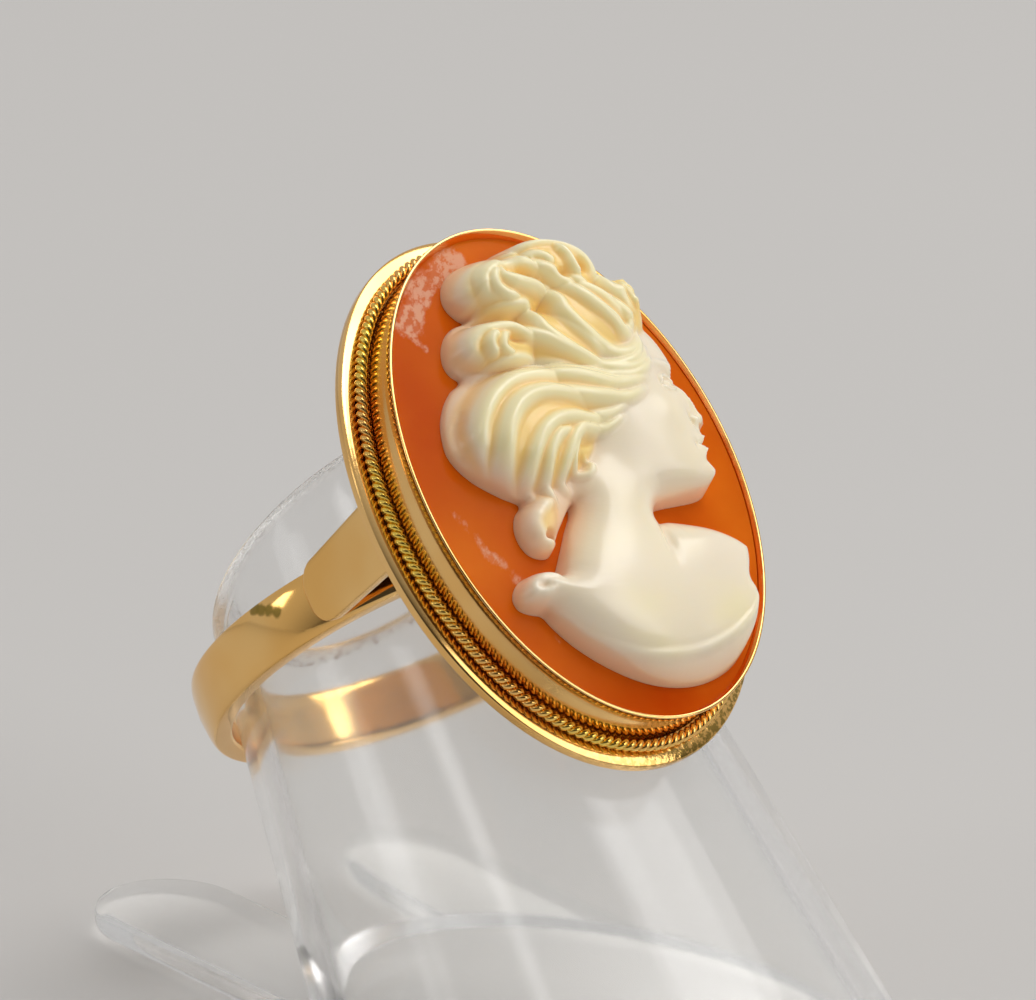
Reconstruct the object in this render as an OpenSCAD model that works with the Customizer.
// Cameo ring in its own stand: a gold ring with an oval shell cameo, on a
// leaning clear finger with a flat forked foot. Millimetres, +Z up. The origin
// is the middle of the foot's underside, and the cameo faces -Y and upwards.
// The ring is drawn in its own frame, with X across the cameo, Y along it and
// Z out of its face from the front of the base plate, and then leaned back.

/* [Cameo] */
// Length of the bezel opening
opening_len = 20; // [18:0.25:24]
// Width of the bezel opening
opening_w = 14.1; // [12.5:0.1:16]
// Height of the shell's face at its two ends, above the base plate
shell_edge_h = 1.95; // [1.8:0.05:2.1]
// Rise of the domed shell face from its ends to its middle
shell_dome = 0.45; // [0.1:0.05:0.8]
// Height of the carved bust above the shell face
relief_h = 2.1; // [1.2:0.1:2.8]
// Width over which the carving rounds down to its outline
relief_round = 0.9; // [0.6:0.1:1.6]
// Clearance between the shell and the metal, and between the two shell layers
shell_gap = 0.04; // [0.02:0.01:0.1]

/* [Setting] */
// Height of the bezel above the base plate
bezel_h = 2.34; // [2.3:0.02:3.4]
// Thickness of the bezel wall at its rim
rim_t = 0.2; // [0.15:0.01:0.3]
// How far the bezel wall thickens inwards at its foot
foot_thicken = 0.28; // [0.15:0.01:0.4]
// Height of that thicker foot
foot_h = 1.3; // [0.8:0.1:1.6]
// Share of the bezel wall's height that is upright, below its flared lip
wall_upright = 0.45; // [0.3:0.05:0.6]
// Width of the bevel inside the bezel's rim
rim_bevel = 0.08; // [0.04:0.01:0.1]
// Height of that bevel
rim_bevel_h = 0.22; // [0.16:0.01:0.3]
// Thickness of the base plate
plate_t = 0.5; // [0.4:0.05:0.9]
// How far the base plate reaches beyond the bezel opening
plate_margin = 0.97; // [0.85:0.01:1.6]
// Diameter of the twisted wire
rope_d = 0.48; // [0.36:0.02:0.6]
// Half turns in the twisted wire, an even number
rope_twists = 170; // [120:2:190]

/* [Shank] */
// Inner diameter of the ring
bore_d = 16.5; // [15.5:0.1:20]
// Thickness of the shank
shank_t = 0.95; // [0.7:0.05:1.4]
// Width of the shank
shank_w = 2.36; // [1.8:0.02:3.4]
// Radius of the crowned outside of the shank, across its width
shank_crown_r = 5; // [3:0.5:12]
// How far the shank is let into the back of the base plate
shank_let_in = 0.23; // [0.1:0.01:0.35]
// Distance of the shank's middle from the cameo's middle, along the cameo
shank_shift = -0.27; // [-0.6:0.01:0.6]
// Thickness of a shoulder tongue
tongue_t = 0.55; // [0.4:0.05:0.8]
// Width of a shoulder tongue where it meets the base plate
tongue_w = 2.74; // [2:0.02:3.4]
// Distance of a tongue's outer face from the edge of the base plate
tongue_inset = 0.14; // [0.1:0.02:0.6]
// Length of the rounded tip of a tongue
tongue_tip = 0.6; // [0.3:0.05:1.1]
// Angle down the shank at which a tongue's tip lies
tongue_angle = 61.5; // [55:0.5:68]
// How far a tongue's tip stands proud of the shank
tongue_proud = 0.24; // [0.1:0.02:0.35]

/* [Stand] */
// Lean of the cameo from upright, in degrees
lean = 43; // [35:0.5:50]
// Height of the base plate's middle above the table
plate_height = 20.2; // [18:0.2:30]
// Angle between the finger's axis and the cameo, in degrees
finger_turn = 0.8; // [0:0.1:1.5]
// Widening of the finger's radius for each millimetre downwards
finger_taper = 0.135; // [0.08:0.005:0.15]
// Wall of the clear finger
finger_wall = 1.2; // [0.8:0.1:1.8]
// Height of the slanted top of the finger above the shank's middle
finger_top = 3.9; // [2.5:0.1:6]
// Slant of the finger's top, in degrees
finger_slant = 15; // [5:1:25]
// Thickness of the foot
foot_t = 1.2; // [0.8:0.1:2.5]
// How far the foot reaches beyond the finger all round
foot_margin = 1; // [0.5:0.1:3]
// Width of a prong
prong_w = 6; // [4.5:0.1:7]
// Clear width between the prongs
prong_gap = 5; // [4.6:0.1:7]
// How far the prongs reach behind the finger
prong_reach = 10.3; // [7:0.1:16]
// Clearance of the ring on the finger
slide_gap = 0.1; // [0.08:0.01:0.3]
// Glue line between the finger and the foot
glue_gap = 0.05; // [0.02:0.01:0.1]

/* [Hidden] */
$fn = 96;

// Half sizes of the opening, which the carving's tables take as one
half_w = opening_w / 2;
half_len = opening_len / 2;
oval = half_len / half_w;

// Overlap of cutters, and steps of the bezel's lip
over = 1;
wall_steps = 8;

// Shank and its middle, below the front of the base plate
bore_r = bore_d / 2;
shank_r = bore_r + shank_t;
bore_depth = plate_t - shank_let_in + shank_r;

// Finger: its front clears the plate's lower end and its back the shank's lower
// edge, and both conditions together give its radius and its place at the bore
lean_finger = lean - finger_turn;
front_run = half_len + plate_margin + shank_shift;
front_room = bore_depth - plate_t - slide_gap - (finger_taper - tan(finger_turn)) * front_run;
back_room = bore_r - slide_gap - (finger_taper + tan(finger_turn)) * shank_w / 2;
finger_r = (front_room + back_room) / 2;
finger_back = (back_room - front_room) / 2;
finger_half_angle = atan(finger_taper);

// Where the finger's axis meets the table, measured from the plate's middle,
// and the oval in which the cone meets it
axis_y = shank_shift * sin(lean) + (bore_depth + finger_back) * cos(lean);
axis_z = shank_shift * cos(lean) - (bore_depth + finger_back) * sin(lean);
axis_run = (plate_height + axis_z) / cos(lean_finger);
base_r = finger_r + finger_taper * axis_run;
base_front = base_r * cos(finger_half_angle) / cos(lean_finger + finger_half_angle);
base_back = base_r * cos(finger_half_angle) / cos(lean_finger - finger_half_angle);
base_half_len = (base_front + base_back) / 2;
base_half_w = base_half_len * sqrt(1 - pow(sin(lean_finger) / cos(finger_half_angle), 2));

// Foot: as long in front of the origin as behind it
foot_half_len = base_half_len + (foot_margin + prong_reach) / 2;
base_mid_y = foot_margin + base_half_len - foot_half_len;
plate_y = base_mid_y + (base_front - base_back) / 2 - axis_y + axis_run * sin(lean_finger);
prong_x = (prong_gap + prong_w) / 2;

// Carving: outline as rows down the bust, in shares of the opening's half sizes.
// Columns: place along the cameo, left edge, right edge
OUTLINE = [
    [0.92, 0.155, 0.155],   [0.905, 0.06, 0.27],    [0.885, -0.12, 0.36],
    [0.85, -0.27, 0.44],    [0.80, -0.337, 0.51],   [0.75, -0.363, 0.553],
    [0.715, -0.357, 0.58],  [0.69, -0.34, 0.652],   [0.655, -0.32, 0.69],
    [0.625, -0.433, 0.705], [0.59, -0.485, 0.715],  [0.53, -0.53, 0.726],
    [0.465, -0.532, 0.745], [0.425, -0.50, 0.763],  [0.39, -0.582, 0.77],
    [0.34, -0.66, 0.77],    [0.28, -0.716, 0.743],  [0.235, -0.74, 0.723],
    [0.195, -0.756, 0.752], [0.15, -0.763, 0.785],  [0.085, -0.733, 0.834],
    [0.045, -0.70, 0.79],   [0.0, -0.638, 0.77],    [-0.035, -0.58, 0.746],
    [-0.065, -0.528, 0.759], [-0.10, -0.475, 0.722], [-0.13, -0.513, 0.738],
    [-0.165, -0.55, 0.73],  [-0.195, -0.56, 0.68],  [-0.21, -0.563, 0.40],
    [-0.25, -0.563, 0.29],  [-0.275, -0.55, 0.32],  [-0.31, -0.48, 0.52],
    [-0.335, -0.42, 0.58],  [-0.365, -0.47, 0.66],  [-0.40, -0.69, 0.714],
    [-0.44, -0.737, 0.759], [-0.485, -0.73, 0.745], [-0.515, -0.667, 0.726],
    [-0.56, -0.586, 0.695], [-0.62, -0.535, 0.70],  [-0.69, -0.454, 0.674],
    [-0.76, -0.345, 0.61],  [-0.82, -0.227, 0.518], [-0.865, -0.10, 0.41],
    [-0.89, 0.03, 0.284],   [-0.90, 0.16, 0.16],
];

// Swellings of the carving, of which the highest counts. Columns: place across
// and along, half sizes across and along, and height as a share of relief_h
SWELLS = [
    [0.05, 0.30, 0.90, 0.62, 1.00], // mass of the hair
    [0.20, 0.68, 0.56, 0.32, 0.92], // crown
    [0.52, 0.12, 0.36, 0.40, 0.80], // cheek
    [0.60, 0.38, 0.26, 0.22, 0.74], // forehead
    [0.52, -0.08, 0.30, 0.14, 0.70], // jaw
    [0.12, -0.22, 0.34, 0.42, 0.62], // neck
    [-0.22, -0.55, 0.52, 0.34, 0.80], // near shoulder
    [0.26, -0.62, 0.56, 0.36, 0.76], // breast
    [-0.44, -0.22, 0.18, 0.14, 0.50], // loose curl
    [-0.63, -0.45, 0.14, 0.10, 0.66], // knot on the shoulder
];

// Locks of hair and edges of the dress, each a cubic curve. Columns: its four
// control points across and along, its half width as a share of the half
// width of the opening, and its height as a share of relief_h
LOCKS = [
    [-0.20, 0.64, -0.52, 0.74, -0.22, 0.92, 0.08, 0.77, 0.055, 0.15],
    [-0.10, 0.65, -0.36, 0.72, -0.14, 0.86, 0.02, 0.76, 0.045, 0.14],
    [0.05, 0.83, 0.20, 0.93, 0.40, 0.90, 0.48, 0.75, 0.055, 0.14],
    [0.10, 0.76, 0.18, 0.87, 0.32, 0.86, 0.36, 0.77, 0.045, 0.13],
    [0.12, 0.69, 0.18, 0.50, 0.22, 0.38, 0.49, 0.37, 0.050, 0.17],
    [0.20, 0.69, 0.32, 0.60, 0.38, 0.50, 0.52, 0.46, 0.050, 0.16],
    [0.34, 0.70, 0.46, 0.62, 0.52, 0.54, 0.58, 0.46, 0.050, 0.13],
    [-0.02, 0.63, -0.02, 0.46, 0.14, 0.34, 0.45, 0.33, 0.050, 0.17],
    [-0.42, 0.44, -0.56, 0.66, -0.16, 0.60, 0.20, 0.34, 0.050, 0.15],
    [-0.36, 0.44, -0.42, 0.56, -0.28, 0.56, -0.20, 0.48, 0.040, 0.12],
    [-0.46, 0.41, -0.24, 0.43, -0.04, 0.38, 0.20, 0.29, 0.040, 0.12],
    [0.40, 0.28, -0.20, 0.44, -0.90, 0.30, -0.60, 0.00, 0.055, 0.17],
    [0.33, 0.22, -0.10, 0.32, -0.76, 0.24, -0.48, -0.06, 0.055, 0.17],
    [0.27, 0.17, -0.20, 0.16, -0.52, 0.12, -0.41, -0.11, 0.050, 0.16],
    [0.18, 0.12, -0.10, 0.12, -0.28, 0.02, -0.21, -0.10, 0.045, 0.15],
    [-0.14, 0.03, -0.18, -0.06, -0.04, -0.06, -0.05, 0.00, 0.030, 0.10],
    [-0.52, 0.38, -0.74, 0.26, -0.76, 0.12, -0.62, 0.02, 0.035, 0.10],
    [-0.31, -0.13, -0.60, -0.16, -0.56, -0.28, -0.40, -0.29, 0.055, 0.13],
    [-0.56, -0.56, -0.30, -0.84, 0.40, -0.90, 0.66, -0.64, 0.045, 0.07],
    [-0.51, -0.44, -0.62, -0.38, -0.76, -0.46, -0.60, -0.49, 0.045, 0.10],
];

// Fineness of the carving, its least thickness as a share of relief_h, and the
// least step between its columns where they crowd against its outline
rows = 66;
columns = 54;
back_columns = 9;
lock_steps = 10;
relief_min = 0.07;
column_step = 0.03;
dome_sides = 1440;

// Fineness of the twisted wire
rope_sides = 6;
rope_rings_per_twist = 3;
rope_waist = 0.62;

// Every value from a share of t, closer together at both ends
function spread(t) = (t + (1 - cos(180 * t)) / 2) / 2;

// Height of the shell's face at a point of the ring's frame: part of a ball
dome_r = (half_len * half_len + shell_dome * shell_dome) / (2 * shell_dome);
dome_mid_h = shell_edge_h + shell_dome - dome_r;
function dome(x, y) = dome_mid_h + sqrt(dome_r * dome_r - x * x - y * y);

// Left and right edge of the carving at a share along the cameo
left_table = [for (r = OUTLINE) [r[0], r[1]]];
right_table = [for (r = OUTLINE) [r[0], r[2]]];
function edge_left(v) = lookup(v, left_table) * half_w;
function edge_right(v) = lookup(v, right_table) * half_w;

// Point of a cubic curve through one row of LOCKS
function lock_point(k, t) = [
    half_w * (pow(1 - t, 3) * k[0] + 3 * t * pow(1 - t, 2) * k[2]
        + 3 * t * t * (1 - t) * k[4] + pow(t, 3) * k[6]),
    half_len * (pow(1 - t, 3) * k[1] + 3 * t * pow(1 - t, 2) * k[3]
        + 3 * t * t * (1 - t) * k[5] + pow(t, 3) * k[7]),
];
lock_lines = [for (k = LOCKS) [for (i = [0:lock_steps]) lock_point(k, i / lock_steps)]];

// Distance from a point to a piece of a line, and to a whole line
function to_piece(p, a, b) =
    let (run = b - a, t = max(0, min(1, ((p - a) * run) / (run * run)))) norm(p - a - t * run);
function to_line(p, line) =
    min([for (i = [1:len(line) - 1]) to_piece(p, line[i - 1], line[i])]);

// Round edge of the carving, arched section of a lock, and the highest lock
function round_edge(share) = share >= 1 ? 0 : sqrt(1 - share * share);
function arch(share) = share >= 1 ? 0 : 1 - share * share;
function lock_height(p) = max([for (i = [0:len(LOCKS) - 1])
    let (k = LOCKS[i], width = k[8] * half_w)
    k[9] * arch(to_line(p, lock_lines[i]) / width)]);

// Highest swelling at a point
function swell_height(p) = max([for (s = SWELLS)
    let (share = norm([(p[0] / half_w - s[0]) / s[2], (p[1] / half_len - s[1]) / s[3]]))
    s[4] * (share >= 1 ? 0 : sqrt(1 - share * share / 2) - sqrt(0.5) * share * share)]);

// Height of the carving above the shell's face, rounded down to its outline
function relief(p, away) =
    let (body = 0.42 + 0.42 * swell_height(p) + lock_height(p))
    relief_h * (relief_min + (body - relief_min) * round_edge(1 - min(1, away / relief_round)));

// Ring's frame, leaned back at the plate's place above the table
module lean_back() {
    translate([0, plate_y, plate_height]) rotate([90 - lean, 0, 0]) children();
}

// Oval disc in the proportions of the opening, wider than it by reach
module oval_disc(reach, h) {
    linear_extrude(h) scale([1, oval]) circle(r = half_w + reach);
}

// Oval solid of a section given as [reach beyond the opening, height] points
module oval_turn(section) {
    scale([1, oval, 1]) rotate_extrude()
        polygon([for (p = section) [p[0] < -half_w ? 0 : half_w + p[0], p[1]]]);
}

// Reach of the bezel's lip at a share of its own height, and that share of the wall's
function lip_reach(t) = rim_t * t * t;
function lip_height(t) = bezel_h * (wall_upright + (1 - wall_upright) * t);

// Base plate: a flat oval wider than the bezel
module base_plate() {
    translate([0, 0, -plate_t]) linear_extrude(plate_t)
        scale([half_w + plate_margin, half_len + plate_margin]) circle(r = 1);
}

// Bezel: upright wall round the shell, with a flared lip and a bevel inside its rim
module bezel_wall() {
    difference() {
        oval_turn(concat([[-opening_w, 0], [0, 0]],
            [for (i = [0:wall_steps]) [lip_reach(i / wall_steps), lip_height(i / wall_steps)]],
            [[-opening_w, bezel_h]]));
        oval_disc(-foot_thicken, foot_h);
        oval_turn([[-opening_w, foot_h], [-foot_thicken, foot_h], [0, bezel_h - rim_bevel_h],
            [rim_bevel, bezel_h], [rim_bevel, bezel_h + over], [-opening_w, bezel_h + over]]);
    }
}

// Shank: a flat band with a crowned outside
module shank() {
    translate([0, shank_shift, -bore_depth]) rotate([90, 0, 0]) rotate_extrude()
        intersection() {
            translate([bore_r, -shank_w / 2]) square([shank_t, shank_w]);
            translate([shank_r - shank_crown_r, 0]) circle(r = shank_crown_r);
        }
}

// Shoulder tongue: a flat strip from the plate's back down to the shank, its
// round tip laid over the shank
module shoulder_tongue() {
    top = [half_w + plate_margin - tongue_inset, -plate_t];
    tip = [(shank_r + tongue_proud) * sin(tongue_angle),
        (shank_r + tongue_proud) * cos(tongue_angle) - bore_depth];
    run = norm(top - tip);
    turn = atan2(top[0] - tip[0], top[1] - tip[1]);
    translate([tip[0], 0, tip[1]]) rotate([0, turn - 90, 0]) rotate([0, 0, 180])
        linear_extrude(tongue_t) {
            polygon([[-run - shank_let_in, -tongue_w / 2], [-run - shank_let_in, tongue_w / 2],
                [-tongue_tip, shank_w / 2 - shank_shift], [-tongue_tip, -shank_w / 2 - shank_shift]]);
            translate([-tongue_tip, -shank_shift]) scale([tongue_tip, shank_w / 2]) circle(r = 1);
        }
}

// Metal of the ring, soldered into one solid
module ring_mount() {
    color("goldenrod") lean_back() {
        difference() {
            union() {
                shank();
                intersection() {
                    for (side = [0, 1]) mirror([side, 0, 0]) shoulder_tongue();
                    translate([-shank_r - over, -half_len, -bore_depth])
                        cube([2 * (shank_r + over), opening_len, bore_depth - plate_t / 2]);
                }
            }
            translate([0, shank_shift + half_len, -bore_depth]) rotate([90, 0, 0])
                cylinder(r = bore_r, h = opening_len);
        }
        base_plate();
        bezel_wall();
    }
}

// Twisted wire on the plate at the foot of the bezel: a two-lobed section that
// turns as it goes round
module rope_wire() {
    rings = rope_twists * rope_rings_per_twist;
    reach = rope_d / 2 + shell_gap;
    a = half_w + reach;
    b = half_len + reach;
    even = (b * b - a * a) / (b * b + a * a) * 45 / PI;
    points = [for (i = [0:rings - 1])
        let (s = 360 * i / rings, t = s - even * sin(2 * s),
            mid = [a * cos(t), b * sin(t)], out = [b * cos(t), a * sin(t)],
            side = out / norm(out), twist = 180 * i / rope_rings_per_twist)
        for (k = [0:rope_sides - 1])
            let (q = 360 * k / rope_sides, r = rope_d / 2 * (k % 3 == 0 ? 1 : rope_waist))
            [mid[0] + side[0] * r * cos(q + twist), mid[1] + side[1] * r * cos(q + twist),
                reach + r * sin(q + twist)]];
    faces = [for (i = [0:rings - 1], k = [0:rope_sides - 1])
        let (n = (i + 1) % rings, m = (k + 1) % rope_sides,
            p = i * rope_sides + k, q = i * rope_sides + m,
            r = n * rope_sides + m, s = n * rope_sides + k)
        each [[p, q, s], [q, r, s]]];
    color("gold") lean_back() polyhedron(points, faces);
}

// Orange layer of the shell: a domed oval disc that fills the bezel
module shell_ground() {
    foot = foot_h - shell_gap;
    color("orangered") lean_back() intersection() {
        union() {
            translate([0, 0, shell_gap])
                oval_disc(-foot_thicken - shell_gap, foot - shell_gap);
            oval_turn([[-opening_w, foot], [-foot_thicken - shell_gap, foot],
                [-shell_gap, bezel_h - rim_bevel_h], [-shell_gap, bezel_h + over],
                [-opening_w, bezel_h + over]]);
        }
        rotate_extrude() intersection() {
            translate([0, dome_mid_h]) circle(r = dome_r, $fn = dome_sides);
            square([half_len, bezel_h + over]);
        }
    }
}

// White layer of the shell: the bust, a closed surface over rows and columns
module cameo_bust() {
    top = OUTLINE[0];
    low = OUTLINE[len(OUTLINE) - 1];
    places = [for (i = [0:rows]) top[0] + (low[0] - top[0]) * spread(i / rows)];
    left = [for (v = places) [edge_left(v), v * half_len]];
    right = [for (v = places) [edge_right(v), v * half_len]];
    widest = [min([for (p = left) p[0]]), max([for (p = right) p[0]])];
    function at(i, j, n, step) =
        let (a = left[i][0], b = right[i][0], gap = min(step, (b - a) / (2 * n)),
            even = widest[0] + (widest[1] - widest[0]) * j / n)
        [max(a + gap * j, min(b - gap * (n - j), even)), left[i][1]];
    function away(p) = min(to_line(p, left), to_line(p, right));
    function face_point(p) = [p[0], p[1], dome(p[0], p[1]) + shell_gap + relief(p, away(p))];
    function back_point(p) = [p[0], p[1], dome(p[0], p[1]) + shell_gap];
    points = concat(
        [for (i = [1:rows - 1], j = [0:columns]) face_point(at(i, j, columns, column_step))],
        [for (i = [1:rows - 1], j = [0:back_columns])
            back_point(at(i, j, back_columns, column_step * columns / back_columns))],
        [face_point(left[0]), back_point(left[0]), face_point(left[rows]), back_point(left[rows])]);
    back = (rows - 1) * (columns + 1);
    ends = back + (rows - 1) * (back_columns + 1);
    function f(i, j) = i == 0 ? ends : i == rows ? ends + 2 : (i - 1) * (columns + 1) + j;
    function g(i, j) =
        i == 0 ? ends + 1 : i == rows ? ends + 3 : back + (i - 1) * (back_columns + 1) + j;
    faces = concat(
        [for (i = [1:rows - 2], j = [0:columns - 1]) each
            [[f(i, j), f(i, j + 1), f(i + 1, j + 1)], [f(i, j), f(i + 1, j + 1), f(i + 1, j)]]],
        [for (j = [0:columns - 1]) each
            [[f(0, 0), f(1, j + 1), f(1, j)], [f(rows, 0), f(rows - 1, j), f(rows - 1, j + 1)]]],
        [for (i = [1:rows - 2], j = [0:back_columns - 1]) each
            [[g(i, j), g(i + 1, j + 1), g(i, j + 1)], [g(i, j), g(i + 1, j), g(i + 1, j + 1)]]],
        [for (j = [0:back_columns - 1]) each
            [[g(0, 0), g(1, j), g(1, j + 1)], [g(rows, 0), g(rows - 1, j + 1), g(rows - 1, j)]]],
        [for (i = [0:rows - 1]) each
            [[f(i, 0), f(i + 1, 0), g(i + 1, 0), g(i, 0)],
                [f(i, columns), g(i, back_columns), g(i + 1, back_columns), f(i + 1, columns)]]]);
    color("antiquewhite") lean_back() polyhedron(points, faces);
}

// Cone of the finger, thinner than its outside by inset
module finger_cone(inset) {
    down = axis_run + base_front;
    up = finger_top + finger_r;
    translate([0, 0, -down])
        cylinder(r1 = finger_r + finger_taper * down - inset,
            r2 = finger_r - finger_taper * up - inset, h = down + up);
}

// Clear finger: a hollow cone with a slanted open top, cut level above the foot
module stand_finger() {
    big = axis_run + base_front + opening_len;
    color("lightcyan", 0.4) difference() {
        lean_back() translate([0, shank_shift, -bore_depth - finger_back])
            rotate([finger_turn - 90, 0, 0]) difference() {
                finger_cone(0);
                finger_cone(finger_wall);
                translate([0, 0, finger_top]) rotate([-finger_slant, 0, 0])
                    translate([-big / 2, -big / 2, 0]) cube(big);
            }
        translate([-big, -big, foot_t + glue_gap - 2 * big]) cube(2 * big);
    }
}

// Flat foot: an oval pad under the finger, and two round-ended prongs behind it
module stand_foot() {
    prong_len = foot_half_len - prong_w / 2 - base_mid_y;
    color("lightcyan", 0.4) linear_extrude(foot_t) {
        translate([0, base_mid_y])
            scale([base_half_w + foot_margin, base_half_len + foot_margin]) circle(r = 1);
        for (side = [-1, 1]) translate([side * prong_x, base_mid_y]) {
            translate([-prong_w / 2, 0]) square([prong_w, prong_len]);
            translate([0, prong_len]) circle(d = prong_w);
        }
    }
}

ring_mount();
rope_wire();
shell_ground();
cameo_bust();
stand_finger();
stand_foot();
